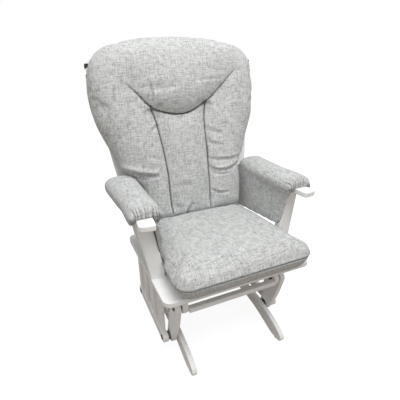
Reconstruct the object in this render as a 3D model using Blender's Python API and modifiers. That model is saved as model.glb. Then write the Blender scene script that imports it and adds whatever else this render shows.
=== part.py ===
# Glider nursery chair: a white hardwood frame on a four-link glide base, with
# loose cushions. Metres, +Z up, floor at z = 0, the chair faces -Y and +X is
# on the right of a viewer who stands in front of it.
import math

import bmesh
import bpy
from mathutils import Matrix

for old in list(bpy.data.objects):
    bpy.data.objects.remove(old, do_unlink=True)

# ---------------------------------------------------------------- dimensions
GAP = 0.0003                 # clearance between neighbouring pieces
EDGE = 0.0022                # eased edge of the wooden boards

# seat board
BOARD_X = 0.267
BOARD_Y0, BOARD_Y1 = -0.267, 0.182
BOARD_Z0, BOARD_Z1 = 0.3235, 0.3410
BOARD_R = 0.026
DECK_X, DECK_Y0, DECK_Y1, DECK_R = 0.175, -0.190, 0.125, 0.020

# glide base
MID_Y = 0.020                # the base is symmetric about this plane
BASE_IN, BASE_OUT = 0.1690, 0.1890
RUN_IN, RUN_OUT = 0.1700, 0.1880
RAIL_Z0, RAIL_Z1 = 0.2200, 0.2680
CROWN_Z = 0.0945             # top of the runner's arch
GLIDE_H, GLIDE_R, GLIDE_REACH = 0.0040, 0.0078, 0.2590
STRETCHER_F, STRETCHER_R, STRETCHER_W = -0.2165, 0.1985, 0.0220
STRETCHER_Z0, STRETCHER_Z1 = 0.2320, 0.2490

# links and their four pivots, as (y, z)
LINK_IN, LINK_OUT = 0.1950, 0.2130
UP_F, LOW_F = (-0.1850, 0.2440), (-0.1220, 0.0712)
UP_R, LOW_R = (0.1890, 0.2440), (0.1620, 0.0712)
LINK_R = 0.0245
HOLE_R, PIN_R = 0.0054, 0.0050
LOOSE_R = 0.0120             # wide bearing bore at the front lower pivot

# seat carriage sides
LOW_IN, LOW_OUT = 0.2220, 0.2420
LOW_Y0, LOW_Y1 = -0.1420, 0.1860
LOW_Z0, LOW_Z1 = 0.0540, 0.0885
SLAT_IN, SLAT_OUT = 0.2230, 0.2380
SLAT_W, SLAT_Y, SLAT_STEP = 0.0360, -0.1090, 0.0890

# arms
ARM_Z0, ARM_Z1 = 0.5560, 0.5742
ARM_FRONT, ARM_BACK = -0.2110, 0.1905
TOE_OUT = math.radians(4.8)
POST_Y, POST_DEPTH, POST_W = -0.1350, 0.0280, 0.0490
PAD_TOP = 0.6120

# back frame: leans back by LEAN from the line y = BACK_Y at the seat board
LEAN = math.radians(12.8)
BACK_Y = 0.1443
UPRIGHT_W, UPRIGHT_T = 0.0420, 0.0200
CREST_S0, CREST_T, CREST_X = 0.6000, 0.0200, 0.3260

# cushions: the seat's box, and the back cushion's place in front of the leaning face
SEAT_X, SEAT_FRONT_X = 0.2190, 0.2360
SEAT_Y0, SEAT_Y1, SEAT_R, SEAT_TOP = -0.3080, 0.1250, 0.0450, 0.4410
CUSHION_BACK, CUSHION_FRONT = 0.0034, 0.0840
CUSHION_SHIFT = -0.012       # the loose back cushion sits a little to one side

WHITE = (0.86, 0.86, 0.85)
FABRIC = (0.55, 0.57, 0.56)
STEEL = (0.30, 0.29, 0.28)
BLACK = (0.02, 0.02, 0.02)
FELT = (0.25, 0.24, 0.23)

# the drawing's origin is moved by this much, which centres the chair's box on y = 0
CENTRE_Y = -0.0060

scene = bpy.context.scene
chair = bpy.data.collections.new("glider_nursery_chair")
scene.collection.children.link(chair)
tools = bpy.data.collections.new("cutters")
scene.collection.children.link(tools)
tools.hide_render = True


# ---------------------------------------------------------------- helpers
def pivot_empty(name, location, parent=None):
    """An empty that carries the pieces of one moving body."""
    empty = bpy.data.objects.new(name, None)
    empty.location = location
    empty.parent = parent
    chair.objects.link(empty)
    return empty


origin = pivot_empty("chair_origin", (0, CENTRE_Y, 0))
swing_front = pivot_empty("front_link_axis", (0, *UP_F), origin)
swing_rear = pivot_empty("rear_link_axis", (0, *UP_R), origin)
carriage = pivot_empty("carriage_axis", (0, *LOW_R), origin)


def attach(obj, parent):
    """Parent a piece drawn in the chair's own coordinates to one of the empties."""
    obj.parent = parent
    if parent != origin:
        obj.matrix_parent_inverse = Matrix.Translation(-parent.location)


def paint(obj, colour, rough, metal=0.0):
    mat = bpy.data.materials.new(obj.name + "_mat")
    mat.use_nodes = True
    shader = mat.node_tree.nodes["Principled BSDF"]
    shader.inputs["Base Color"].default_value = (*colour, 1.0)
    shader.inputs["Roughness"].default_value = rough
    shader.inputs["Metallic"].default_value = metal
    mat.diffuse_color = (*colour, 1.0)
    obj.data.materials.append(mat)


def finish(obj, parent, colour, rough=0.4, metal=0.0):
    """Put a new piece in the chair's collection, on its empty, in its own material."""
    for owner in list(obj.users_collection):
        owner.objects.unlink(obj)
    chair.objects.link(obj)
    attach(obj, parent)
    paint(obj, colour, rough, metal)
    return obj


def ease(obj, width=EDGE, segments=2):
    """Rounded edges on every sharp rim."""
    mod = obj.modifiers.new("eased_edges", 'BEVEL')
    mod.width = width
    mod.segments = segments
    mod.limit_method = 'ANGLE'
    mod.angle_limit = math.radians(40)


# the plane that an outline is drawn in: its two axes and its normal, as columns
SIDE_PLANE = Matrix(((0, 0, 1), (1, 0, 0), (0, 1, 0))).to_4x4()
FLOOR_PLANE = Matrix.Identity(4)


def outline_mesh(name, outline, thickness, matrix):
    """A closed outline as a filled 2D curve of the given thickness, made a mesh object."""
    curve = bpy.data.curves.new(name, 'CURVE')
    curve.dimensions = '2D'
    curve.fill_mode = 'BOTH'
    curve.extrude = thickness / 2
    spline = curve.splines.new('POLY')
    spline.points.add(len(outline) - 1)
    for point, (a, b) in zip(spline.points, outline):
        point.co = (a, b, 0, 1)
    spline.use_cyclic_u = True
    drawn = bpy.data.objects.new(name + "_curve", curve)
    scene.collection.objects.link(drawn)
    depsgraph = bpy.context.evaluated_depsgraph_get()
    mesh = bpy.data.meshes.new_from_object(drawn.evaluated_get(depsgraph))
    bpy.data.objects.remove(drawn, do_unlink=True)
    bm = bmesh.new()
    bm.from_mesh(mesh)
    bmesh.ops.remove_doubles(bm, verts=bm.verts, dist=0.00005)
    bmesh.ops.dissolve_limit(bm, angle_limit=math.radians(0.5), verts=bm.verts, edges=bm.edges)
    bmesh.ops.recalc_face_normals(bm, faces=bm.faces)
    bm.to_mesh(mesh)
    bm.free()
    obj = bpy.data.objects.new(name, mesh)
    obj.matrix_world = matrix
    return obj


def board(name, outline, lo, hi, plane, parent, colour=WHITE, edge=EDGE, rough=0.4):
    """A board drawn as an outline in a plane and reaching from lo to hi along its normal."""
    matrix = plane @ Matrix.Translation((0, 0, (lo + hi) / 2))
    obj = finish(outline_mesh(name, outline, hi - lo, matrix), parent, colour, rough)
    if edge:
        ease(obj, edge)
    return obj


def post(name, low, high, parent):
    """A leaning post: a cube whose lower and upper ends are moved to two rectangles."""
    bpy.ops.mesh.primitive_cube_add(size=2)
    obj = bpy.context.object
    obj.name = name
    for vert in obj.data.vertices:
        end = high if vert.co.z > 0 else low
        vert.co = end[vert.co.x > 0][vert.co.y > 0]
    bm = bmesh.new()
    bm.from_mesh(obj.data)
    bmesh.ops.recalc_face_normals(bm, faces=bm.faces)
    bm.to_mesh(obj.data)
    bm.free()
    finish(obj, parent, WHITE)
    ease(obj)
    return obj


def arc(cy, cz, radius, start, end, steps):
    """Points on a circle from one angle to another, both in degrees."""
    points = []
    for k in range(steps + 1):
        a = math.radians(start + (end - start) * k / steps)
        points.append((cy + radius * math.cos(a), cz + radius * math.sin(a)))
    return points


def rounded_box(x0, x1, y0, y1, radius, steps=5):
    """Outline of a rectangle with round corners."""
    points = []
    corners = [(x1, y0, -90, -1, 1), (x1, y1, 0, -1, -1), (x0, y1, 90, 1, -1), (x0, y0, 180, 1, 1)]
    for cx, cy, start, sx, sy in corners:
        points += arc(cx + sx * radius, cy + sy * radius, radius, start, start + 90, steps)
    return points


def as_cutter(obj):
    """Keep an object out of the chair: it only cuts."""
    for owner in list(obj.users_collection):
        owner.objects.unlink(obj)
    tools.objects.link(obj)
    attach(obj, origin)
    obj.hide_render = True
    obj.display_type = 'WIRE'
    return obj


def drill(name, y, z, radius):
    """A long round bar across the chair that bores both sides at once."""
    bpy.ops.mesh.primitive_cylinder_add(vertices=20, radius=radius, depth=0.7, location=(0, y, z),
                                        rotation=(0, math.pi / 2, 0))
    bpy.context.object.name = name
    return as_cutter(bpy.context.object)


def cut(obj, tool):
    mod = obj.modifiers.new("bore", 'BOOLEAN')
    mod.operation = 'DIFFERENCE'
    mod.solver = 'EXACT'
    mod.object = tool


def turned(name, side, profile, pivot, parent):
    """A round steel piece along X: profile lists (x, radius) from its inner to its outer end."""
    points = [(profile[0][0], 0.0)] + profile + [(profile[-1][0], 0.0)]
    mesh = bpy.data.meshes.new(name)
    verts = [(radius, 0, x) for x, radius in reversed(points)]
    mesh.from_pydata(verts, [(k, k + 1) for k in range(len(verts) - 1)], [])
    obj = bpy.data.objects.new(name, mesh)
    obj.location = (0, *pivot)
    obj.rotation_euler = (0, side * math.pi / 2, 0)
    spin = obj.modifiers.new("turned", 'SCREW')
    spin.axis = 'Z'
    spin.steps = 16
    spin.render_steps = 16
    spin.use_merge_vertices = True
    spin.merge_threshold = 0.0001
    spin.use_smooth_shade = False
    return finish(obj, parent, STEEL, 0.35, 0.9)


SIDES = (("left", -1), ("right", 1))


def span(side, inner, outer):
    """Inner and outer x of a side piece, in ascending order."""
    return (inner, outer) if side > 0 else (-outer, -inner)


bore_up_f = drill("bore_upper_front", *UP_F, HOLE_R)
bore_up_r = drill("bore_upper_rear", *UP_R, HOLE_R)
bore_low_f = drill("bore_lower_front", *LOW_F, HOLE_R)
bore_low_r = drill("bore_lower_rear", *LOW_R, HOLE_R)
bore_loose = drill("bore_lower_front_loose", *LOW_F, LOOSE_R)


# ---------------------------------------------------------------- glide base
def runner_outline():
    """Arched floor runner, front half mirrored about MID_Y: (y, z) points."""
    top = [(0.2920, 0.0220), (0.2860, 0.0340), (0.2720, 0.0440), (0.2450, 0.0570), (0.2100, 0.0690),
           (0.1700, 0.0790), (0.1250, 0.0865), (0.0700, 0.0925), (0.0, CROWN_Z)]
    low = [(0.0, 0.0500), (0.0600, 0.0480), (0.1100, 0.0410), (0.1500, 0.0310), (0.1850, 0.0200),
           (0.2150, 0.0100), (0.2400, GLIDE_H + GAP), (0.2780, GLIDE_H + GAP), (0.2880, 0.0100)]
    front = [(MID_Y - d, z) for d, z in top]
    front_low = [(MID_Y - d, z) for d, z in low]
    rear = [(MID_Y + d, z) for d, z in reversed(top[:-1])]
    rear_low = [(MID_Y + d, z) for d, z in reversed(low[1:])]
    return front + rear + rear_low + front_low


def rail_outline():
    """Stationary rail with round ends."""
    radius = (RAIL_Z1 - RAIL_Z0) / 2
    mid = (RAIL_Z0 + RAIL_Z1) / 2
    return arc(UP_R[0], mid, radius, -90, 90, 8) + arc(UP_F[0], mid, radius, 90, 270, 8)


def upright_outline():
    """Waisted upright between the runner's crown and the rail."""
    foot_z, head_z = CROWN_Z + GAP, RAIL_Z0 - GAP
    half = [(0.050, head_z), (0.038, 0.180), (0.036, 0.130), (0.045, foot_z)]
    front = [(MID_Y - d, z) for d, z in half]
    return front + [(MID_Y + d, z) for d, z in reversed(half)]


for word, side in SIDES:
    lo, hi = span(side, RUN_IN, RUN_OUT)
    board("base_runner_" + word, runner_outline(), lo, hi, SIDE_PLANE, origin)
    lo, hi = span(side, BASE_IN, BASE_OUT)
    rail = board("base_rail_" + word, rail_outline(), lo, hi, SIDE_PLANE, origin)
    cut(rail, bore_up_f)
    cut(rail, bore_up_r)
    lo, hi = span(side, RUN_IN, RUN_OUT)
    board("base_upright_" + word, upright_outline(), lo, hi, SIDE_PLANE, origin)
    for end, sign in (("front", -1), ("rear", 1)):
        spot = (side * (RUN_IN + RUN_OUT) / 2, MID_Y + sign * GLIDE_REACH, GLIDE_H / 2)
        bpy.ops.mesh.primitive_cylinder_add(vertices=16, radius=GLIDE_R, depth=GLIDE_H, location=spot)
        bpy.context.object.name = "floor_glide_%s_%s" % (end, word)
        finish(bpy.context.object, origin, FELT, 0.9)

for end, y0 in (("front", STRETCHER_F), ("rear", STRETCHER_R)):
    bar = rounded_box(y0, y0 + STRETCHER_W, STRETCHER_Z0, STRETCHER_Z1, 0.003, 2)
    board("base_stretcher_" + end, bar, -BASE_IN + GAP, BASE_IN - GAP, SIDE_PLANE, origin, edge=0)


# ---------------------------------------------------------------- links
def link_outline(top, low):
    """Leaf-shaped link: two round ends joined by gently bowed edges."""
    dy, dz = low[0] - top[0], low[1] - top[1]
    length = math.hypot(dy, dz)
    ay, az = dy / length, dz / length
    by, bz = -az, ay
    base = math.degrees(math.atan2(az, ay))
    points = arc(top[0], top[1], LINK_R, base + 100, base + 260, 8)
    for sign in (-1, 1):
        bow = []
        for k in range(1, 8):
            u = k / 8
            w = LINK_R + 0.0060 * math.sin(math.pi * u)
            bow.append((top[0] + ay * length * u + sign * by * w, top[1] + az * length * u + sign * bz * w))
        if sign < 0:
            points += bow
            points += arc(low[0], low[1], LINK_R, base - 80, base + 80, 8)
        else:
            points += list(reversed(bow))
    return points


for word, side in SIDES:
    lo, hi = span(side, LINK_IN, LINK_OUT)
    for end, top, low, up_tool, low_tool in (("front", UP_F, LOW_F, bore_up_f, bore_loose),
                                             ("rear", UP_R, LOW_R, bore_up_r, bore_low_r)):
        swing = swing_front if end == "front" else swing_rear
        link = board("link_%s_%s" % (end, word), link_outline(top, low), lo, hi, SIDE_PLANE, swing)
        cut(link, up_tool)
        cut(link, low_tool)
        # upper bolt: head inside the base rail, collar, pin, nut outside the link
        profile = [(BASE_IN - 0.0052, 0.0060), (BASE_IN - 0.0043, 0.0085), (BASE_IN - GAP, 0.0085),
                   (BASE_IN - GAP, PIN_R), (BASE_OUT + GAP, PIN_R), (BASE_OUT + GAP, 0.0110),
                   (LINK_IN - GAP, 0.0110), (LINK_IN - GAP, PIN_R), (LINK_OUT + GAP, PIN_R),
                   (LINK_OUT + GAP, 0.0085), (LINK_OUT + 0.0035, 0.0085), (LINK_OUT + 0.0042, 0.0060)]
        turned("pivot_bolt_upper_%s_%s" % (end, word), side, profile, top, origin)
        # lower bolt: nut inside the link, collar, pin through the carriage rail
        flange = 0.0160 if end == "front" else 0.0110
        profile = [(LINK_IN - 0.0040, 0.0060), (LINK_IN - 0.0034, flange), (LINK_IN - GAP, flange),
                   (LINK_IN - GAP, PIN_R), (LINK_OUT + GAP, PIN_R), (LINK_OUT + GAP, flange),
                   (LOW_IN - GAP, flange), (LOW_IN - GAP, PIN_R), (LOW_OUT + GAP, PIN_R),
                   (LOW_OUT + GAP, 0.0095), (LOW_OUT + 0.0022, 0.0095), (LOW_OUT + 0.0030, 0.0070)]
        turned("pivot_bolt_lower_%s_%s" % (end, word), side, profile, low, carriage)


# ---------------------------------------------------------------- carriage sides
def low_rail_outline():
    radius = (LOW_Z1 - LOW_Z0) / 2 - 0.001
    mid = (LOW_Z0 + LOW_Z1) / 2
    rear = [(LOW_Y1, LOW_Z0)] + arc(LOW_Y1 - 0.012, LOW_Z1 - 0.012, 0.012, 0, 90, 4)
    front = arc(LOW_Y0 + radius, mid, radius + 0.001, 90, 270, 8)
    return rear + front


for word, side in SIDES:
    lo, hi = span(side, LOW_IN, LOW_OUT)
    rail = board("carriage_rail_" + word, low_rail_outline(), lo, hi, SIDE_PLANE, carriage)
    cut(rail, bore_low_f)
    cut(rail, bore_low_r)
    lo, hi = span(side, SLAT_IN, SLAT_OUT)
    for k in range(4):
        y0 = SLAT_Y + k * SLAT_STEP
        if k == 3:
            y0 -= 0.014
        z0, z1 = LOW_Z1 + GAP, BOARD_Z0 - GAP
        outline = [(y0, z0), (y0 + SLAT_W, z0), (y0 + SLAT_W, z1), (y0, z1)]
        board("side_slat_%d_%s" % (k + 1, word), outline, lo, hi, SIDE_PLANE, carriage)

# seat board: a frame round a fabric deck
plan = rounded_box(-BOARD_X, BOARD_X, BOARD_Y0, BOARD_Y1, BOARD_R)
seat_board = board("seat_board", plan, BOARD_Z0, BOARD_Z1, FLOOR_PLANE, carriage)
well_plan = rounded_box(-DECK_X, DECK_X, DECK_Y0, DECK_Y1, DECK_R)
well = outline_mesh("deck_well", well_plan, 0.06, Matrix.Translation((0, 0, BOARD_Z0)))
cut(seat_board, as_cutter(well))
plan = rounded_box(-DECK_X + GAP, DECK_X - GAP, DECK_Y0 + GAP, DECK_Y1 - GAP, DECK_R - GAP)
board("seat_deck", plan, BOARD_Z0 + 0.0040, BOARD_Z0 + 0.0075, FLOOR_PLANE, carriage, BLACK, 0, 0.9)


# ---------------------------------------------------------------- arms
def arm_outline(side):
    """Wooden arm seen from above: toes out towards the front, eased nose."""
    spread = math.tan(TOE_OUT)
    nose = [(0.2640, -0.2110), (0.2880, -0.2085), (0.3010, -0.2040), (0.3065, -0.1960)]
    tail_out = 0.3065 - (ARM_BACK + 0.196) * spread
    tail_in = 0.2560 - (ARM_BACK + 0.205) * spread
    points = [(tail_in, ARM_BACK), (0.2562, -0.1960), (0.2578, -0.2070)] + nose
    points.append((tail_out, ARM_BACK))
    return [(side * x, y) for x, y in points]


def post_end(side, x0, y0, z):
    """A horizontal end of an arm post, as its four corners by x and y."""
    return [[(side * x, y, z) for y in (y0, y0 + POST_DEPTH)] for x in (x0, x0 + POST_W)]


for word, side in SIDES:
    board("arm_" + word, arm_outline(side), ARM_Z0, ARM_Z1, FLOOR_PLANE, carriage, edge=0.003)
    foot = post_end(side, 0.2165, POST_Y, BOARD_Z1 + GAP)
    head = post_end(side, 0.2520, POST_Y + 0.0110, ARM_Z0 - GAP)
    post("arm_post_" + word, foot, head, carriage)


# ---------------------------------------------------------------- back frame
def lean(x, s, t):
    """Point at height s up the leaning front face, t behind that face."""
    y = BACK_Y + s * math.sin(LEAN) + t * math.cos(LEAN)
    z = BOARD_Z1 + GAP + s * math.cos(LEAN) - t * math.sin(LEAN)
    return (x, y, z)


# drawing plane of the back: (x, s) outlines, with the normal towards the front
BACK_PLANE = Matrix.Translation(lean(0, 0, 0)) @ Matrix.Rotation(math.pi / 2 - LEAN, 4, 'X')


def upright_x(s):
    """Outer x of an upright at height s: the back widens upwards."""
    return 0.2425 + 0.1340 * s


def back_board(name, outline, t0, t1):
    """A board in the leaning plane, from t0 to t1 behind the back's front face."""
    return board(name, outline, -t1, -t0, BACK_PLANE, carriage)


def upright_end(side, s_front, s_rear):
    """An end of an upright as its four corners: outer or inner x, then front or rear."""
    corners = []
    for inset in (0.0, UPRIGHT_W):
        pair = []
        for s, t in ((s_front, 0.0), (s_rear, UPRIGHT_T)):
            pair.append(lean(side * (upright_x(s) - inset), s, t))
        corners.append(pair)
    return corners


for word, side in SIDES:
    foot = upright_end(side, 0.0, UPRIGHT_T * math.tan(LEAN))
    head = upright_end(side, CREST_S0 - GAP, CREST_S0 - GAP)
    post("back_upright_" + word, foot, head, carriage)


def crest_outline():
    """Arched crest rail with round shoulders."""
    right = [(CREST_X - 0.002, 0.0), (CREST_X, 0.004), (CREST_X, 0.054), (0.3190, 0.066), (0.3020, 0.077),
             (0.2600, 0.088), (0.1900, 0.098), (0.1000, 0.105)]
    left = [(-x, rise) for x, rise in reversed(right)]
    under = [(-0.1500, 0.006), (0.0, 0.010), (0.1500, 0.006)]
    return [(x, CREST_S0 + rise) for x, rise in right + [(0.0, 0.107)] + left + under]


back_board("back_crest", crest_outline(), 0.0, CREST_T)
LOW_S0, LOW_S1 = 0.110, 0.165
w0, w1 = upright_x(LOW_S0) - UPRIGHT_W - GAP * 2, upright_x(LOW_S1) - UPRIGHT_W - GAP * 2
back_board("back_lower_rail", [(w0, LOW_S0), (w1, LOW_S1), (-w1, LOW_S1), (-w0, LOW_S0)], 0.001, 0.019)
for k in range(4):
    x = -0.1290 + 0.0860 * k
    s0, s1 = LOW_S1 + GAP, CREST_S0 - GAP
    top_x = x * 1.25
    slat = [(x + 0.0170, s0), (top_x + 0.0190, s1), (top_x - 0.0190, s1), (x - 0.0170, s0)]
    back_board("back_slat_%d" % (k + 1), slat, 0.004, 0.016)

# elastic loops that hold the back cushion to the frame's shoulders, drawn as (x, t) sections
LEVEL_PLANE = Matrix.Translation(lean(0, 0, 0)) @ Matrix.Rotation(-LEAN, 4, 'X')
TIE_W = 0.0120
for word, side in SIDES:
    for k, s in enumerate((CREST_S0 + 0.0120, CREST_S0 + 0.0460)):
        x_out, x_in, hug = CREST_X + 0.0034, CREST_X - 0.0220, CREST_X + 2 * GAP
        t0, t1 = -0.0026, CREST_T + 0.0024
        section = [(x_in, t0), (x_out, t0), (x_out, t1), (x_in, t1), (x_in, CREST_T + 2 * GAP),
                   (hug, CREST_T + 2 * GAP), (hug, -2 * GAP), (x_in, -2 * GAP)]
        section = [(side * x, t) for x, t in section]
        name = "cushion_tie_%s_%d" % (word, k + 1)
        board(name, section, s - TIE_W / 2, s + TIE_W / 2, LEVEL_PLANE, carriage, BLACK, 0, 0.8)


# ---------------------------------------------------------------- cushions
# plain solids of the outer shape: drawn as outlines with wide rounded rims
def seat_outline():
    """Seat cushion seen from above: wider in front of the arm posts than between them."""
    right = arc(SEAT_FRONT_X - SEAT_R, SEAT_Y0 + SEAT_R, SEAT_R, -90, 0, 5)
    right += [(SEAT_FRONT_X, POST_Y - 0.0450), (SEAT_X, POST_Y - 0.0080)]
    right += arc(SEAT_X - SEAT_R, SEAT_Y1 - SEAT_R, SEAT_R, 0, 90, 5)
    return right + [(-x, y) for x, y in reversed(right)]


seat = board("seat_cushion", seat_outline(), BOARD_Z1 + GAP, SEAT_TOP, FLOOR_PLANE, carriage, FABRIC, 0, 0.9)
ease(seat, 0.0220, 3)

half = [(0.1500, 0.0950), (0.1850, 0.1020), (0.1960, 0.1300), (0.1980, 0.1900), (0.1990, 0.2350),
        (0.2080, 0.2740), (0.2500, 0.2900), (0.2880, 0.3100), (0.3010, 0.3500), (0.3130, 0.4200),
        (0.3220, 0.4900), (0.3260, 0.5500), (0.3260, 0.6000), (0.3200, 0.6450), (0.2940, 0.6800),
        (0.2450, 0.7080), (0.1600, 0.7270), (0.0700, 0.7350)]
back_plan = half + [(0.0, 0.7360)] + [(-x, s) for x, s in reversed(half)] + [(0.0, 0.0940)]
back_plan = [(x + CUSHION_SHIFT, s) for x, s in back_plan]
back = board("back_cushion", back_plan, CUSHION_BACK, CUSHION_FRONT, BACK_PLANE, carriage, FABRIC, 0, 0.9)
ease(back, 0.0200, 3)


def pad_ring(side, y, inner_low, outer_low, squeeze):
    """Cross-section of a padded arm sleeve at y: a dome with a flap each side."""
    spread = math.tan(TOE_OUT)
    wood_in = 0.2560 - (y + 0.205) * spread - GAP * 2
    wood_out = 0.3065 - (y + 0.196) * spread + GAP * 2
    if y > 0.150:
        wood_in -= GAP * 2
    flap_x = wood_in - 0.0022
    top = PAD_TOP - squeeze
    under = ARM_Z1 + GAP
    mid = ARM_Z0 + 0.004
    slant = 0.125 - 0.105 * min(1.0, max(0.0, (y + 0.112) / 0.22))
    lean_in = max(0.0, mid - inner_low) * slant
    low_in = flap_x - lean_in
    inner, outer = 0.2220 + squeeze * 0.6, 0.3380 - squeeze * 0.8
    inner = min(inner, flap_x - 0.0045)
    points = [(low_in - 0.0035, inner_low), (inner, mid), (inner - 0.0010, under + 0.008),
              (inner + 0.0060, top - 0.012), (inner + 0.0220, top - 0.003), ((inner + outer) / 2, top),
              (outer - 0.0220, top - 0.003), (outer - 0.0050, top - 0.013), (outer, under + 0.004),
              (outer - 0.0010, mid), (outer - 0.0040, outer_low), (outer - 0.0085, outer_low),
              (outer - 0.0070, mid), (outer - 0.0100, under - 0.003), (wood_out + 0.0020, under),
              (wood_in, under), (wood_in, mid), (low_in, inner_low)]
    return [(side * x, y, z) for x, z in points]


def loft(name, rings, parent, colour, rough):
    """A closed skin over unlike sections that have the same number of points."""
    bm = bmesh.new()
    loops = [[bm.verts.new(point) for point in ring] for ring in rings]
    for ring, following in zip(loops, loops[1:]):
        for i in range(len(ring)):
            bm.faces.new((ring[i - 1], ring[i], following[i], following[i - 1]))
    bm.faces.new(loops[0])
    bm.faces.new(loops[-1])
    bmesh.ops.recalc_face_normals(bm, faces=bm.faces)
    mesh = bpy.data.meshes.new(name)
    bm.to_mesh(mesh)
    bm.free()
    return finish(bpy.data.objects.new(name, mesh), parent, colour, rough)


# sections from the rear to the front: y, lower edge of the inner and the outer flap, squeeze of the dome
SECTIONS = ((0.1560, 0.5450, 0.5500, 0.010), (0.1480, 0.4100, 0.5120, 0.003), (0.1000, 0.4090, 0.5050, 0.0),
            (0.0400, 0.4120, 0.5000, 0.0), (-0.0200, 0.4180, 0.5000, 0.0), (-0.0700, 0.4230, 0.5030, 0.0),
            (-0.1120, 0.4270, 0.5100, 0.001), (-0.1400, 0.5330, 0.5300, 0.002),
            (-0.1620, 0.5530, 0.5530, 0.004), (-0.1740, 0.5560, 0.5560, 0.010))
for word, side in SIDES:
    rings = [pad_ring(side, *section) for section in SECTIONS]
    loft("arm_pad_" + word, rings, carriage, FABRIC, 0.9)

# the turned pieces become plain meshes, and every round piece is smooth between its sharp rims
depsgraph = bpy.context.evaluated_depsgraph_get()
for obj in chair.objects:
    if obj.name.startswith("pivot_bolt"):
        obj.data = bpy.data.meshes.new_from_object(obj.evaluated_get(depsgraph))
        obj.modifiers.clear()
    if obj.name.startswith(("pivot_bolt", "floor_glide", "link", "base_r")):
        obj.data.shade_smooth()
        obj.data.set_sharp_from_angle(angle=math.radians(40))
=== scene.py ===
import math
import bmesh
import bpy
import numpy as np
from mathutils import Matrix, Vector
from mathutils.bvhtree import BVHTree


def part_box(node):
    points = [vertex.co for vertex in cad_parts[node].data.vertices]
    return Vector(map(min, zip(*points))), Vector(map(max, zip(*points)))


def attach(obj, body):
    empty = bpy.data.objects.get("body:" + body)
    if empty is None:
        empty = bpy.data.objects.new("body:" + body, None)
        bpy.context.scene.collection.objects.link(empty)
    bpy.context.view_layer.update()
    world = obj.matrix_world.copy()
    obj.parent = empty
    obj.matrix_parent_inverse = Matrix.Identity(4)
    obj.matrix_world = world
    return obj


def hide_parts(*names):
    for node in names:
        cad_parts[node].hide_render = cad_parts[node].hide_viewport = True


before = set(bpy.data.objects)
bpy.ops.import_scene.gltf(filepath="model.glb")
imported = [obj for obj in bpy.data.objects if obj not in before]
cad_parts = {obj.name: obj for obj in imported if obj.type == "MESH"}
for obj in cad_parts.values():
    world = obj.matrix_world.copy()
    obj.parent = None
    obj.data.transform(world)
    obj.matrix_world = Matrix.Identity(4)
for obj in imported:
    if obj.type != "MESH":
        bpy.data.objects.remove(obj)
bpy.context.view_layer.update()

scene = bpy.context.scene
SIDES = (("left", -1), ("right", 1))

# places that follow from the frame
SEAT_LOW, SEAT_HIGH = (Vector(c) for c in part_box("seat_cushion"))
BOARD_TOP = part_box("seat_board")[1][2]
ARM_LOW, ARM_TOP = (c[2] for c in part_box("arm_right"))
LEAN = math.radians(12.8)                    # the back frame leans by this much
BACK_FOOT = Vector((0.0, 0.1383, 0.3413))    # foot of the back frame's front face
ALONG = Vector((0.0, math.sin(LEAN), math.cos(LEAN)))        # up the leaning face
OUTWARD = Vector((0.0, -math.cos(LEAN), math.sin(LEAN)))     # straight out of it, forwards


# ------------------------------------------------------------------ camera
def add_camera():
    """The photograph's viewpoint."""
    eye = Vector((-0.475, -0.976, 0.986))
    yaw, pitch, roll = 0.4023, -0.4232, -0.0215
    ahead = Vector((math.sin(yaw) * math.cos(pitch), math.cos(yaw) * math.cos(pitch), math.sin(pitch)))
    right = Vector((math.cos(yaw), -math.sin(yaw), 0.0))
    up = right.cross(ahead)
    side = math.cos(roll) * right + math.sin(roll) * up
    top = -math.sin(roll) * right + math.cos(roll) * up
    data = bpy.data.cameras.new("camera")
    data.sensor_width = 36.0
    data.lens = 29.156
    data.shift_x, data.shift_y = 0.0202, 0.0114
    cam = bpy.data.objects.new("camera", data)
    matrix = Matrix((side, top, -ahead)).transposed().to_4x4()
    matrix.translation = eye
    cam.matrix_world = matrix
    scene.collection.objects.link(cam)
    scene.camera = cam


# ------------------------------------------------------------------ materials
class Nodes:
    """Small helper to build a node material."""

    def __init__(self, name):
        self.mat = bpy.data.materials.new(name)
        self.mat.use_nodes = True
        self.tree = self.mat.node_tree
        self.shader = self.tree.nodes["Principled BSDF"]

    def add(self, kind, **values):
        node = self.tree.nodes.new(kind)
        for key, value in values.items():
            setattr(node, key, value)
        return node

    def link(self, a, b):
        self.tree.links.new(a, b)

    def set(self, name, value):
        self.shader.inputs[name].default_value = value

    def scaled(self, vector, scale):
        node = self.add('ShaderNodeMapping')
        node.inputs["Scale"].default_value = scale
        self.link(vector, node.inputs["Vector"])
        return node.outputs["Vector"]

    def noise(self, vector, detail=2.0, rough=0.5, distortion=0.0):
        node = self.add('ShaderNodeTexNoise')
        node.inputs["Scale"].default_value = 1.0
        node.inputs["Detail"].default_value = detail
        node.inputs["Roughness"].default_value = rough
        node.inputs["Distortion"].default_value = distortion
        self.link(vector, node.inputs["Vector"])
        return node.outputs["Fac"]

    def math(self, op, a, b, clamp=False):
        node = self.add('ShaderNodeMath', operation=op, use_clamp=clamp)
        for socket, value in zip(node.inputs, (a, b)):
            if isinstance(value, (int, float)):
                socket.default_value = value
            else:
                self.link(value, socket)
        return node.outputs[0]

    def ramp(self, fac, stops):
        node = self.add('ShaderNodeValToRGB')
        ramp = node.color_ramp
        while len(ramp.elements) < len(stops):
            ramp.elements.new(0.5)
        for element, (place, colour) in zip(ramp.elements, stops):
            element.position = place
            element.color = (*colour, 1.0)
        self.link(fac, node.inputs["Fac"])
        return node.outputs["Color"]

    def bump(self, height, strength, distance):
        node = self.add('ShaderNodeBump')
        node.inputs["Strength"].default_value = strength
        node.inputs["Distance"].default_value = distance
        self.link(height, node.inputs["Height"])
        self.link(node.outputs["Normal"], self.shader.inputs["Normal"])


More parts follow.
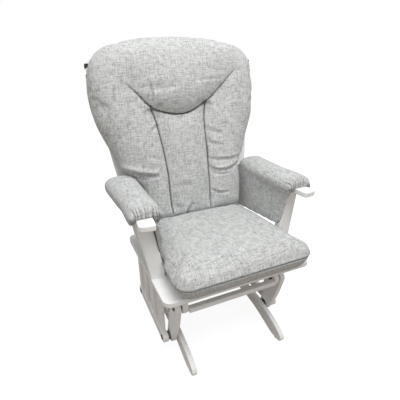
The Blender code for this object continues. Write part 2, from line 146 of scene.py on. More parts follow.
def fabric(name, dark, light):
    """Heathered linen-look weave: crossed slub yarns of lighter and darker grey."""
    n = Nodes(name)
    weave = n.add('ShaderNodeAttribute', attribute_name="weave").outputs["Vector"]
    warp = n.noise(n.scaled(weave, (430.0, 46.0, 200.0)), 3.0, 0.6)
    weft = n.noise(n.scaled(weave, (40.0, 440.0, 200.0)), 3.0, 0.6)
    slub = n.noise(n.scaled(weave, (36.0, 200.0, 100.0)), 2.0, 0.55)
    streak = n.noise(n.scaled(weave, (200.0, 34.0, 100.0)), 2.0, 0.55)
    grain = n.noise(n.scaled(weave, (700.0, 700.0, 700.0)), 1.0)
    cloud = n.noise(n.scaled(weave, (10.0, 10.0, 10.0)), 2.0)
    cross = n.math('ADD', warp, weft)
    mix = n.math('MULTIPLY', n.math('SUBTRACT', cross, 1.0), 2.2)
    for layer, weight in ((slub, 0.40), (streak, 0.24), (grain, 1.0), (cloud, 0.16)):
        mix = n.math('ADD', mix, n.math('MULTIPLY', n.math('SUBTRACT', layer, 0.5), weight))
    mix = n.math('ADD', mix, 0.56, clamp=True)
    middle = tuple(0.38 * d + 0.62 * l for d, l in zip(dark, light))
    colour = n.ramp(mix, ((0.0, dark), (0.5, middle), (1.0, light)))
    # painted shade: the colour is darkened by the seam attribute, which marks where shade falls in seams,
    # gathers and along the piping
    seam = n.add('ShaderNodeAttribute', attribute_name="seam").outputs["Fac"]
    shade = n.ramp(seam, ((0.0, (1.0, 1.0, 1.0)), (1.0, (0.22, 0.22, 0.21))))
    deep = n.add('ShaderNodeMix', data_type='RGBA', blend_type='MULTIPLY')
    deep.inputs["Factor"].default_value = 1.0
    n.link(colour, deep.inputs[6])
    n.link(shade, deep.inputs[7])
    n.link(deep.outputs[2], n.shader.inputs["Base Color"])
    n.set("Roughness", 0.95)
    n.set("Sheen Weight", 0.15)
    n.set("Sheen Roughness", 0.45)
    n.set("Specular IOR Level", 0.12)
    yarn = n.math('ADD', n.math('MULTIPLY', cross, 0.6), n.math('MULTIPLY', grain, 0.4))
    n.bump(yarn, 0.5, 0.0016)
    return n.mat


def painted_wood(name, along):
    """Satin white paint over close-grained hardwood; along is the axis of the grain."""
    n = Nodes(name)
    place = n.add('ShaderNodeTexCoord').outputs["Object"]
    scale = [160.0, 160.0, 160.0]
    scale["xyz".index(along)] = 7.0
    grain = n.noise(n.scaled(place, scale), 3.0, 0.6, 0.4)
    cloud = n.noise(n.scaled(place, (14.0, 14.0, 14.0)), 2.0)
    peel = n.noise(n.scaled(place, (420.0, 420.0, 420.0)), 1.0)
    tone = n.math('ADD', n.math('MULTIPLY', grain, 0.45), n.math('MULTIPLY', cloud, 0.55))
    colour = n.ramp(tone, ((0.25, (0.86, 0.855, 0.84)),
                           (0.55, (0.93, 0.93, 0.92)),
                           (0.8, (0.95, 0.95, 0.945))))
    n.link(colour, n.shader.inputs["Base Color"])
    gloss = n.ramp(cloud, ((0.3, (0.33, 0.33, 0.33)), (0.7, (0.46, 0.46, 0.46))))
    n.link(gloss, n.shader.inputs["Roughness"])
    n.set("Specular IOR Level", 0.45)
    n.bump(n.math('ADD', grain, n.math('MULTIPLY', peel, 0.5)), 0.16, 0.0006)
    return n.mat


def steel(name):
    n = Nodes(name)
    place = n.add('ShaderNodeTexCoord').outputs["Object"]
    scratch = n.noise(n.scaled(place, (300.0, 900.0, 900.0)), 3.0, 0.6)
    colour = n.ramp(scratch, ((0.3, (0.10, 0.095, 0.09)), (0.7, (0.24, 0.23, 0.22))))
    n.link(colour, n.shader.inputs["Base Color"])
    gloss = n.ramp(scratch, ((0.3, (0.32, 0.32, 0.32)), (0.7, (0.52, 0.52, 0.52))))
    n.link(gloss, n.shader.inputs["Roughness"])
    n.set("Metallic", 0.9)
    n.bump(scratch, 0.2, 0.0003)
    return n.mat


def webbing(name, colour):
    """Ribbed woven tape."""
    n = Nodes(name)
    place = n.add('ShaderNodeTexCoord').outputs["Object"]
    wave = n.add('ShaderNodeTexWave', bands_direction='DIAGONAL')
    wave.inputs["Scale"].default_value = 260.0
    wave.inputs["Distortion"].default_value = 0.6
    n.link(place, wave.inputs["Vector"])
    light = tuple(c * 2.4 + 0.01 for c in colour)
    ribbed = n.ramp(wave.outputs["Fac"], ((0.2, colour), (0.9, light)))
    n.link(ribbed, n.shader.inputs["Base Color"])
    n.set("Roughness", 0.85)
    n.set("Sheen Weight", 0.2)
    n.bump(wave.outputs["Fac"], 0.5, 0.0008)
    return n.mat


def shade_lining(name):
    """Black non-woven backing on the hidden side of the sleeves; its near-black colour also paints the
    deep shade under them.
    """
    n = Nodes(name)
    place = n.add('ShaderNodeTexCoord').outputs["Object"]
    fibre = n.noise(n.scaled(place, (500.0, 500.0, 500.0)), 3.0, 0.6)
    colour = n.ramp(fibre, ((0.3, (0.016, 0.015, 0.013)), (0.7, (0.050, 0.046, 0.040))))
    n.link(colour, n.shader.inputs["Base Color"])
    n.set("Roughness", 0.9)
    n.bump(fibre, 0.4, 0.0006)
    return n.mat


def felt(name):
    n = Nodes(name)
    place = n.add('ShaderNodeTexCoord').outputs["Object"]
    fuzz = n.noise(n.scaled(place, (1200.0, 1200.0, 1200.0)), 3.0)
    colour = n.ramp(fuzz, ((0.3, (0.16, 0.15, 0.14)), (0.7, (0.30, 0.29, 0.27))))
    n.link(colour, n.shader.inputs["Base Color"])
    n.set("Roughness", 0.9)
    n.bump(fuzz, 0.6, 0.0008)
    return n.mat


def floor_material():
    """Pale floor that glows a little to the camera, and throws little light up under the seat."""
    n = Nodes("floor_white")
    place = n.add('ShaderNodeTexCoord').outputs["Object"]
    cloud = n.noise(n.scaled(place, (1.5, 1.5, 1.5)), 2.0)
    pale = n.ramp(cloud, ((0.3, (0.29, 0.29, 0.29)), (0.7, (0.30, 0.30, 0.30))))
    n.link(pale, n.shader.inputs["Base Color"])
    n.set("Roughness", 0.9)
    n.set("Specular IOR Level", 0.0)
    n.set("Emission Color", (1.0, 1.0, 1.0, 1.0))
    n.set("Emission Strength", 0.87)
    dim = n.add('ShaderNodeBsdfDiffuse')
    dim.inputs["Color"].default_value = (0.36, 0.315, 0.27, 1.0)
    choose = n.add('ShaderNodeMixShader')
    n.link(n.add('ShaderNodeLightPath').outputs["Is Camera Ray"], choose.inputs[0])
    n.link(dim.outputs[0], choose.inputs[1])
    n.link(n.shader.outputs[0], choose.inputs[2])
    n.link(choose.outputs[0], n.tree.nodes["Material Output"].inputs["Surface"])
    return n.mat


# ------------------------------------------------------------------ mesh tools
def new_object(name, mesh):
    obj = bpy.data.objects.new(name, mesh)
    scene.collection.objects.link(obj)
    return obj


def bake(obj):
    """Make the object's evaluated shape its mesh, with no modifiers left."""
    depsgraph = bpy.context.evaluated_depsgraph_get()
    mesh = bpy.data.meshes.new_from_object(obj.evaluated_get(depsgraph))
    obj.modifiers.clear()
    obj.data = mesh


def points(mesh):
    out = np.empty(len(mesh.vertices) * 3)
    mesh.vertices.foreach_get("co", out)
    return out.reshape(-1, 3)


def normals(mesh):
    out = np.empty(len(mesh.vertices) * 3)
    mesh.vertices.foreach_get("normal", out)
    return out.reshape(-1, 3)


def move(mesh, places):
    mesh.vertices.foreach_set("co", np.ascontiguousarray(places, dtype=np.float64).ravel())
    mesh.update()


def remesh(obj, voxel, smooth):
    """Even small faces over the whole surface, smoothed a little."""
    mod = obj.modifiers.new("remesh", 'REMESH')
    mod.mode = 'VOXEL'
    mod.voxel_size = voxel
    soften = obj.modifiers.new("soften", 'SMOOTH')
    soften.factor = 0.5
    soften.iterations = smooth
    bake(obj)


def subdivide(obj):
    mod = obj.modifiers.new("fine", 'SUBSURF')
    mod.levels = 1
    mod.render_levels = 1
    bake(obj)


def soften(obj, times):
    mod = obj.modifiers.new("soften", 'SMOOTH')
    mod.factor = 0.5
    mod.iterations = times
    bake(obj)


def refine(obj, chosen):
    """Split the faces whose points are all chosen, where fine detail goes."""
    bm = bmesh.new()
    bm.from_mesh(obj.data)
    bm.verts.ensure_lookup_table()
    faces = [f for f in bm.faces if all(chosen[v.index] for v in f.verts)]
    edges = list({e for f in faces for e in f.edges})
    bmesh.ops.subdivide_edges(bm, edges=edges, cuts=1, use_grid_fill=True)
    bm.to_mesh(obj.data)
    bm.free()


PUFF_FRAMES = 20
STIFFNESS = 15.0


def puff(obj, cap, pinned, pressure=4.0):
    """Cloth under inner pressure; each point's way levels off towards cap."""
    start = points(obj.data)
    group = obj.vertex_groups.new(name="pin")
    for index in np.nonzero(pinned)[0]:
        group.add([int(index)], 1.0, 'REPLACE')
    mod = obj.modifiers.new("puff", 'CLOTH')
    cloth = mod.settings
    cloth.quality = 6
    cloth.tension_stiffness = STIFFNESS
    cloth.compression_stiffness = STIFFNESS
    cloth.shear_stiffness = 5.0
    cloth.bending_stiffness = 0.2
    cloth.use_pressure = True
    cloth.uniform_pressure_force = pressure
    cloth.effector_weights.gravity = 0.0
    cloth.vertex_group_mass = "pin"
    mod.point_cache.frame_start = 1
    mod.point_cache.frame_end = PUFF_FRAMES
    for frame_number in range(1, PUFF_FRAMES + 1):
        scene.frame_set(frame_number)
    bake(obj)
    scene.frame_set(1)
    step = points(obj.data) - start
    size = np.linalg.norm(step, axis=1, keepdims=True)
    factor = cap * np.tanh(size / cap) / np.maximum(size, 1e-9)
    move(obj.data, start + step * factor)
    obj.vertex_groups.clear()


SPAN_STEPS = 6               # points of a curve between two chosen ones


def spline(path, closed=False):
    """Smooth curve through given points (Catmull-Rom)."""
    path = [np.array(p, float) for p in path]
    n = len(path)
    out = []
    for i in range(n if closed else n - 1):
        if closed:
            a, b, c, d = (path[(i + k) % n] for k in (-1, 0, 1, 2))
        else:
            a, b, c, d = (path[min(max(i + k, 0), n - 1)] for k in (-1, 0, 1, 2))
        for k in range(SPAN_STEPS):
            u = k / SPAN_STEPS
            out.append(0.5 * (2 * b + (c - a) * u + (2 * a - 5 * b + 4 * c - d) * u ** 2
                              + (3 * b - a - 3 * c + d) * u ** 3))
    if not closed:
        out.append(path[-1])
    return np.array(out)


def near(flat, line):
    """For 2-D points: distance to a polyline, place along it from 0 to 1, and side of it (+1 or -1)."""
    best = np.full(len(flat), 1e9)
    where = np.zeros(len(flat))
    side = np.zeros(len(flat))
    spans = np.linalg.norm(np.diff(line, axis=0), axis=1)
    done = np.concatenate(([0.0], np.cumsum(spans)))
    for k in range(len(line) - 1):
        a, ab = line[k], line[k + 1] - line[k]
        u = np.clip(((flat - a) @ ab) / max(ab @ ab, 1e-12), 0, 1)
        gap = flat - (a + u[:, None] * ab)
        dist = np.hypot(gap[:, 0], gap[:, 1])
        closer = dist < best
        best[closer] = dist[closer]
        where[closer] = ((done[k] + u * spans[k]) / done[-1])[closer]
        side[closer] = np.sign(ab[0] * gap[:, 1] - ab[1] * gap[:, 0])[closer]
    return best, where, side


FOLD_LIP = 0.6               # height of a fold's lip against its depth


def crease(flat, line, width, depth):
    """A soft fold along a line: a valley that fades at its ends, with a fuller lip on its left side."""
    line = spline(line)
    dist, where, side = near(flat, line)
    fade = np.clip(4 * where * (1 - where), 0, 1) ** 0.6
    valley = -depth * np.exp(-(dist / width) ** 2)
    bulge = FOLD_LIP * depth * np.exp(-((dist - 1.9 * width) / (1.1 * width)) ** 2) * (0.5 + 0.5 * side)
    inside = (where > 0.001) & (where < 0.999)
    return (valley + bulge) * fade * inside


def paint_weave(obj, coords):
    """Store the weave's own coordinates on the points."""
    attr = obj.data.attributes.new("weave", 'FLOAT_VECTOR', 'POINT')
    attr.data.foreach_set("vector", np.ascontiguousarray(coords, dtype=np.float64).ravel())


def paint_seam_shade(obj, amount):
    """Store painted shade on the points, from 0 to 1: how far into a seam or crease each lies; the
    fabric's colour is darkened by it.
    """
    attr = obj.data.attributes.new("seam", 'FLOAT', 'POINT')
    attr.data.foreach_set("value", np.ascontiguousarray(np.clip(amount, 0, 1), dtype=np.float64))


def finish_piece(obj, material):
    """Upholstery of the moving carriage."""
    obj.data.materials.clear()
    obj.data.materials.append(material)
    obj.data.shade_smooth()
    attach(obj, "carriage")


# ------------------------------------------------------------------ back cushion
CUSHION_SHIFT = -0.0220      # above the arms the loose cushion sits a little to the viewer's left
BACK_MID, BACK_HALF, BACK_RIM = 0.0450, 0.0150, 0.027

# outline, right half: distance from the middle and height up the leaning face
BACK_SIDE = ((0.090, 0.0700), (0.160, 0.0710), (0.188, 0.0830), (0.200, 0.1250), (0.206, 0.1900),
             (0.215, 0.2350), (0.238, 0.2680), (0.254, 0.3000), (0.270, 0.3450), (0.292, 0.4000),
             (0.307, 0.4450), (0.3175, 0.5150), (0.3175, 0.5700), (0.310, 0.6200), (0.290, 0.6600),
             (0.246, 0.6930), (0.165, 0.7150), (0.080, 0.7250))

# seams as (x, height up the face)
HEAD_SEAM = ((-0.226, 0.566), (-0.192, 0.533), (-0.145, 0.484), (-0.097, 0.462), (-0.045, 0.453),
             (0.005, 0.459), (0.072, 0.491), (0.132, 0.539), (0.196, 0.596))
LEFT_SEAM = ((-0.143, 0.480), (-0.132, 0.448), (-0.118, 0.350), (-0.109, 0.245), (-0.110, 0.165),
             (-0.106, 0.078))
RIGHT_SEAM = ((0.071, 0.489), (0.059, 0.440), (0.056, 0.384), (0.056, 0.297), (0.054, 0.225),
              (0.054, 0.152), (0.050, 0.078))


def from_back(local):
    """World points from (x, height up the leaning face, distance in front of it)."""
    return (np.array(BACK_FOOT) + local[:, :1] * np.array((1.0, 0, 0)) + local[:, 1:2] * np.array(ALONG)
            + local[:, 2:] * np.array(OUTWARD))


def outline_solid(name, outline, half, rim):
    """Filled outline with a round rim, as a mesh in its own plane."""
    curve = bpy.data.curves.new(name, 'CURVE')
    curve.dimensions = '2D'
    curve.fill_mode = 'BOTH'
    curve.extrude = half
    curve.bevel_depth = rim
    curve.bevel_resolution = 5
    curve.offset = -rim
    path = curve.splines.new('POLY')
    path.points.add(len(outline) - 1)
    for point, (a, b) in zip(path.points, outline):
        point.co = (a, b, 0, 1)
    path.use_cyclic_u = True
    drawn = new_object(name + "_curve", curve)
    depsgraph = bpy.context.evaluated_depsgraph_get()
    mesh = bpy.data.meshes.new_from_object(drawn.evaluated_get(depsgraph))
    bpy.data.objects.remove(drawn, do_unlink=True)
    bm = bmesh.new()
    bm.from_mesh(mesh)
    bmesh.ops.remove_doubles(bm, verts=bm.verts, dist=0.00005)
    bm.to_mesh(mesh)
    bm.free()
    return new_object(name, mesh)


def ease_in(value, start, end):
    """0 before start, 1 after end, smooth between."""
    u = np.clip((value - start) / (end - start), 0, 1)
    return u * u * (3 - 2 * u)


def back_cushion(material):
    """Loose back cushion: a headrest roll over a curved seam, and three panels below it."""
    left = [(-x, s) for x, s in reversed(BACK_SIDE)]
    ring = spline(list(BACK_SIDE) + [(0.0, 0.7275)] + left + [(0.0, 0.0695)], closed=True)
    ring[:, 0] += CUSHION_SHIFT * ease_in(ring[:, 1], 0.190, 0.275)
    obj = outline_solid("back_cushion_cover", ring, BACK_HALF, BACK_RIM)
    remesh(obj, 0.0058, 6)
    flat = points(obj.data)
    rim = near(flat[:, :2], np.vstack((ring, ring[:1])))[0]
    lines = [spline(line) for line in (HEAD_SEAM, LEFT_SEAM, RIGHT_SEAM)]
    x, s, z = flat.T
    front = 1 / (1 + np.exp(-z / 0.004))
    dome = 1 - np.exp(-rim / 0.055)
    head, left_seam, right_seam = (near(flat[:, :2], line) for line in lines)
    fade = np.clip(5 * head[1] * (1 - head[1]), 0, 1) ** 0.8
    middle = np.clip(4 * head[1] * (1 - head[1]), 0, 1) ** 1.5
    above = head[2] > 0
    # the head roll swells over its seam, and the panels below it start in its shade
    swell = 0.026 * dome
    roll = ease_in(head[0], 0.0, 0.065) * np.exp(-(np.maximum(head[0] - 0.065, 0) / 0.09) ** 2)
    swell += 0.019 * fade * above * roll
    swell -= 0.012 * middle * above * np.exp(-(head[0] / 0.014) ** 2)
    swell -= 0.013 * fade * (~above) * np.exp(-(head[0] / 0.045))
    for seam in (left_seam, right_seam):
        swell -= 0.014 * np.exp(-(seam[0] / 0.024) ** 2) * (seam[1] > 0) * ease_in(s, 0.085, 0.130)
    z = z + front * swell - (1 - front) * 0.004 * dome
    move(obj.data, np.stack((x, s, z), axis=1))
    sewn = (head[0] < 0.004) & (head[1] > 0.04) & (head[1] < 0.96)
    sewn |= (left_seam[0] < 0.004) | (right_seam[0] < 0.004)
    puff(obj, 0.016, (sewn & (front > 0.5)) | (z < -0.034))
    subdivide(obj)
    soften(obj, 2)
    # narrow sewn grooves and folds in the finished cover
    flat = points(obj.data)
    gap = np.min([near(flat[:, :2], line)[0] for line in lines], axis=0)
    refine(obj, (gap < 0.009) & (flat[:, 2] > 0))
    flat = points(obj.data)
    out = normals(obj.data)
    plane = flat[:, :2]
    shift = np.zeros(len(flat))
    # from here sewn holds painted shade along the seam grooves
    sewn = np.zeros(len(flat))
    grooves = ((0.0028, 0.0095, 0.6), (0.0022, 0.0080, 0), (0.0022, 0.0080, 0))
    for line, (wide, deep, power) in zip(lines, grooves):
        dist, where, _ = near(plane, line)
        ends = np.clip(4.2 * where * (1 - where), 0, 1) ** power * (where > 0)
        ends = ends * ease_in(plane[:, 1], 0.078, 0.095)
        shift -= deep * np.exp(-(dist / wide) ** 2) * ends
        sewn = np.maximum(sewn, np.exp(-(dist / (0.75 * wide)) ** 2) * ends ** 1.5)
    for line, width, depth in BACK_FOLDS:
        shift += crease(plane, line, width, depth)
    move(obj.data, flat + out * (shift * np.clip(out[:, 2] * 3, 0, 1))[:, None])
    local = points(obj.data)
    local[:, 2] += BACK_MID
    move(obj.data, from_back(local))
    paint_weave(obj, local * (1, 1, 0.5))
    # painted shade in the seams, on the front of the cover only
    paint_seam_shade(obj, sewn * (out[:, 2] > 0))
    finish_piece(obj, material)
    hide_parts("back_cushion")


# folds of the back cushion: (line as (x, height) points, width, depth)
BACK_FOLDS = (
    (((-0.285, 0.280), (-0.245, 0.266), (-0.198, 0.250), (-0.145, 0.240)), 0.0080, 0.0135),
    (((-0.245, 0.252), (-0.218, 0.240), (-0.185, 0.232)), 0.0060, 0.0060),
    (((-0.146, 0.575), (-0.141, 0.545), (-0.140, 0.510), (-0.143, 0.478)), 0.0042, 0.0065),
    (((0.056, 0.284), (0.085, 0.273), (0.135, 0.269), (0.200, 0.271)), 0.0062, 0.0050),
    (((0.055, 0.251), (0.078, 0.234), (0.108, 0.228), (0.150, 0.234), (0.200, 0.252)), 0.0062, 0.0090),
    (((0.055, 0.237), (0.078, 0.221), (0.108, 0.214), (0.145, 0.217)), 0.0052, 0.0055),
    (((0.054, 0.162), (0.078, 0.147), (0.102, 0.141), (0.132, 0.142)), 0.0055, 0.0052),
    (((0.058, 0.400), (0.080, 0.380), (0.125, 0.366)), 0.0080, 0.0035),
    (((0.058, 0.345), (0.085, 0.330), (0.120, 0.326)), 0.0080, 0.0030),
    (((-0.050, 0.060), (-0.048, 0.082), (-0.040, 0.102), (-0.022, 0.122)), 0.0075, 0.0100),
    (((-0.100, 0.120), (-0.085, 0.112), (-0.066, 0.110)), 0.0080, 0.0040),
    (((-0.160, 0.400), (-0.140, 0.409), (-0.122, 0.424)), 0.0060, 0.0030),
    (((-0.120, 0.300), (-0.150, 0.305), (-0.180, 0.318)), 0.0080, 0.0030),
    (((-0.100, 0.190), (-0.060, 0.196), (-0.020, 0.190)), 0.0100, 0.0025),
)


# ------------------------------------------------------------------ seat cushion
SEAT_R = 0.050               # corners in plan
WELT = 0.3950                # height of the piping
CORD_R, CORD_SIDES = 0.0022, 8
SEAT_WAIST = 0.2185          # half width between the arm posts; in front of them it is wider
SEAT_LOOSE = 0.0065          # the loose cushion sits this far to the viewer's right in front
SEAT_GIVE = 0.014            # its sides level off over this distance beside the posts


CORNER_STEPS = 10


def rounded_ring(x0, x1, y0, y1, radius):
    """Points round a rectangle with round corners."""
    ring = []
    corners = ((x1, y0, -90, -1, 1), (x1, y1, 0, -1, -1), (x0, y1, 90, 1, -1), (x0, y0, 180, 1, 1))
    for cx, cy, start, sx, sy in corners:
        for k in range(CORNER_STEPS + 1):
            a = math.radians(start + 90 * k / CORNER_STEPS)
            ring.append((cx + sx * radius + radius * math.cos(a),
                         cy + sy * radius + radius * math.sin(a)))
    return ring


def ring_solid(name, rings):
    """Closed skin over rings of 3-D points."""
    bm = bmesh.new()
    loops = [[bm.verts.new(p) for p in ring] for ring in rings]
    for low, high in zip(loops, loops[1:]):
        for i in range(len(low)):
            bm.faces.new((low[i - 1], low[i], high[i], high[i - 1]))
    bm.faces.new(reversed(loops[0]))
    bm.faces.new(loops[-1])
    bmesh.ops.recalc_face_normals(bm, faces=bm.faces)
    mesh = bpy.data.meshes.new(name)
    bm.to_mesh(mesh)
    bm.free()
    return new_object(name, mesh)


def seat_ring(inset, z):
    """The seat's plan at one level, drawn in by inset; it narrows between the arm posts."""
    low, high = SEAT_LOW, SEAT_HIGH
    front_half = high.x + SEAT_LOOSE
    radius = max(SEAT_R - inset * 0.6, 0.02)
    ring = np.array(rounded_ring(-front_half + inset, front_half - inset,
                                 low.y + 0.003 + inset, high.y - inset, radius))
    waist = (SEAT_WAIST - min(inset, 0.0)) / front_half
    narrow = 1 - (1 - waist) * ease_in(ring[:, 1], -0.205, -0.145)
    skew = SEAT_LOOSE * ease_in(-ring[:, 1], 0.145, 0.205)
    return [(x * k + d, y, z) for (x, y), k, d in zip(ring, narrow, skew)]


def seat_cushion(material):
    """Boxed seat cushion with piping along its upper edge."""
    base = BOARD_TOP + 0.0006
    levels = ((base, 0.030), (base + 0.005, 0.021), (0.3600, 0.012), (0.3800, 0.004), (WELT, 0.000),
              (0.4050, 0.000), (0.4170, 0.003), (0.4260, 0.011), (0.4320, 0.026), (0.4360, 0.055))
    obj = ring_solid("seat_cushion_cover", [seat_ring(inset, z) for z, inset in levels])
    remesh(obj, 0.0055, 5)
    place = points(obj.data)
    mid_y = (SEAT_LOW.y + SEAT_HIGH.y) / 2
    u = place[:, 0] / SEAT_HIGH.x
    v = (place[:, 1] - mid_y) / (SEAT_HIGH.y - mid_y)
    crown = np.clip(1 - u ** 2, 0, 1) * np.clip(1 - v ** 2, 0, 1)
    place[:, 2] += ease_in(place[:, 2], 0.41, 0.43) * 0.006 * crown ** 0.6
    move(obj.data, place)
    puff(obj, 0.013, place[:, 2] < WELT + 0.003)
    soften(obj, 5)
    subdivide(obj)
    place = points(obj.data)
    refine(obj, np.abs(place[:, 2] - WELT) < 0.008)
    place = points(obj.data)
    out = normals(obj.data)
    side = np.clip(1.5 - 2 * np.abs(out[:, 2]), 0, 1)
    welt = np.exp(-((place[:, 2] - WELT + 0.0028) / 0.0022) ** 2) * side
    groove = -0.0065 * welt
    hollow = np.zeros(len(place))
    for line, width, depth in SEAT_FOLDS:
        hollow += crease(place[:, :2], line, width, depth) * np.clip(out[:, 2], 0, 1)
    place += out * (groove + hollow)[:, None]
    place[:, 2] = np.maximum(place[:, 2], base)
    # the sides stay clear of the arm posts and of the sleeves' flaps
    room = SEAT_WAIST + 0.0025 + 0.035 * ease_in(-place[:, 1], 0.141, 0.200)
    past = np.maximum(np.abs(place[:, 0]) - room + SEAT_GIVE, 0)
    place[:, 0] -= np.sign(place[:, 0]) * (past - SEAT_GIVE * np.tanh(past / SEAT_GIVE))
    move(obj.data, place)
    out = normals(obj.data)
    # weave: seen from above on the top, round the side on the boxing
    top = np.abs(out[:, 2]) > 0.55
    front = np.abs(out[:, 1]) > np.abs(out[:, 0])
    thin = (1, 1, 0.3)
    boxing = np.where(front[:, None], place[:, (0, 2, 1)] * thin, place[:, (1, 2, 0)] * thin)
    paint_weave(obj, np.where(top[:, None], place * thin, boxing))
    # painted shade along the welt groove under the piping
    paint_seam_shade(obj, welt)
    finish_piece(obj, material)
    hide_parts("seat_cushion")
    # welt piping laid in the seam
    tree = BVHTree.FromObject(obj, bpy.context.evaluated_depsgraph_get())
    path = []
    for x, y, z in seat_ring(-0.020, WELT):
        hit = tree.find_nearest(Vector((x, y, z)))[0]
        path.append(Vector((hit.x, hit.y, WELT)))
    piping("seat_cushion_piping", path, CORD_R, material)


# soft hollows of the seat's top panel: (line as (x, y) points, width, depth)
SEAT_FOLDS = (
    (((-0.170, -0.020), (-0.090, -0.050), (0.010, -0.045)), 0.020, 0.0022),
    (((0.040, 0.040), (0.110, 0.010), (0.180, -0.030)), 0.018, 0.0020),
    (((-0.150, -0.180), (-0.060, -0.200), (0.030, -0.190)), 0.022, 0.0016),
    (((0.070, -0.120), (0.130, -0.150), (0.200, -0.160)), 0.018, 0.0018),
)


def piping(name, path, radius, material):
    """A closed cord of fabric along a path."""
    rings = []
    for i, p in enumerate(path):
        along = (path[(i + 1) % len(path)] - path[i - 1]).normalized()
        side = along.cross(Vector((0, 0, 1))).normalized()
        up = side.cross(along)
        rings.append([p + radius * (math.cos(a) * side + math.sin(a) * up)
                      for a in (2 * math.pi * k / CORD_SIDES for k in range(CORD_SIDES))])
    bm = bmesh.new()
    loops = [[bm.verts.new(p) for p in ring] for ring in rings]
    for i, low in enumerate(loops):
        high = loops[(i + 1) % len(loops)]
        for k in range(CORD_SIDES):
            bm.faces.new((low[k - 1], low[k], high[k], high[k - 1]))
    bmesh.ops.recalc_face_normals(bm, faces=bm.faces)
    mesh = bpy.data.meshes.new(name)
    bm.to_mesh(mesh)
    bm.free()
    obj = new_object(name, mesh)
    place = points(obj.data)
    paint_weave(obj, place[:, (0, 2, 1)])
    # painted shade: the whole piping cord is darkened by half
    paint_seam_shade(obj, np.full(len(place), 0.5))
    finish_piece(obj, material)


# ------------------------------------------------------------------ arm sleeves
TOE_OUT = math.tan(math.radians(4.8))       # the arms spread towards the front
HEM_Y, REAR_Y = -0.1720, 0.1520             # ends of the sleeve
SLEEVE_TOP = 0.6090
GATHER_FROM, GATHER_REACH = -0.1300, 0.0360   # where the gathers start, and how far they build up
GATHER_STEP, GATHER_DEPTH = 0.0108, 0.0048
POCKET_Y, POCKET_Z = -0.0760, 0.4780          # lines of stitching on the inner flap
STITCH_WIDTH, STITCH_DEPTH = 0.0016, 0.0012

# outer face of each sleeve: (y, distance from the chair's middle)
SLEEVE_OUT = {-1: ((-0.172, 0.3230), (-0.130, 0.3240), (-0.050, 0.3220), (0.000, 0.3270), (0.100, 0.3340),
                   (0.152, 0.3370)),
              1: ((-0.172, 0.3150), (-0.150, 0.3300), (-0.100, 0.3330), (-0.030, 0.3260), (0.050, 0.3280),
                  (0.152, 0.3340))}


def wood_sides(y):
    """Inner and outer x of the wooden arm at y."""
    rel = y + 0.0060
    return 0.2560 - (rel + 0.205) * TOE_OUT - 0.0012, 0.3065 - (rel + 0.196) * TOE_OUT + 0.0014


# lower edge of the long inner flap near the arm post: (y, z), towards the rear
FLAP_FRONT = {-1: ((-0.172, 0.5450), (-0.168, 0.5050), (-0.158, 0.4780), (-0.146, 0.4500),
                   (-0.134, 0.4280), (-0.120, 0.4235), (0.152, 0.4010)),
              1: ((-0.162, 0.5620), (-0.155, 0.5300), (-0.147, 0.4900), (-0.139, 0.4550),
                  (-0.130, 0.4300), (-0.118, 0.4235), (0.152, 0.4010))}


def sleeve_ring(y, side):
    """Cross-section of a sleeve at y: a padded dome over the arm and a long flap on its inner side."""
    wood_in, wood_out = wood_sides(y)
    under = ARM_TOP + 0.0012
    nose = 1 - math.sqrt(1 - min(1.0, max(0.0, (-0.132 - y) / 0.0405)) ** 2)
    tail = 1 - math.sqrt(1 - min(1.0, max(0.0, (y - 0.134) / 0.0185)) ** 2)
    top = SLEEVE_TOP - 0.0230 * nose - 0.0120 * tail
    inner = 0.2205 + 0.0040 * nose + 0.0020 * tail
    outer = float(np.interp(y, *zip(*SLEEVE_OUT[side]))) - 0.0020 * tail
    flap = min(float(np.interp(y, *zip(*FLAP_FRONT[side]))), ARM_LOW + 0.0080)
    ahead = min(1.0, max(0.0, (-0.138 - y) / 0.016))      # in front of the post the flap hangs straight
    slant = 0.125 - 0.105 * min(1.0, max(0.0, (y + 0.106) / 0.22))
    low_in = wood_in - 0.0015 - max(0.0, ARM_LOW - flap) * slant
    low_in += ahead * (min(low_in, inner + 0.0090) - low_in)
    outer_low = ARM_LOW - 0.004 + 0.020 * nose
    hip, mid = 0.5690 + 0.004 * nose, (inner + outer) / 2
    reach = (outer - inner) / 2
    dome = []
    for k in range(15):
        a = math.pi * k / 14
        across = -math.copysign(abs(math.cos(a)) ** 0.72, math.cos(a))
        dome.append((mid + reach * across, hip + (top - hip) * math.sin(a) ** 0.72))
    shape = [(low_in - 0.0050, flap), (wood_in - 0.0090, max(ARM_LOW - 0.006, flap + 0.003))] + dome
    outer_low = min(outer_low, hip - 0.004)
    shape += [(outer - 0.0030, outer_low), (wood_out + 0.0030, outer_low), (wood_out, under),
              (wood_in, under), (wood_in, max(ARM_LOW, flap + 0.001)), (low_in, flap)]
    return [(side * x, y, z) for x, z in shape]


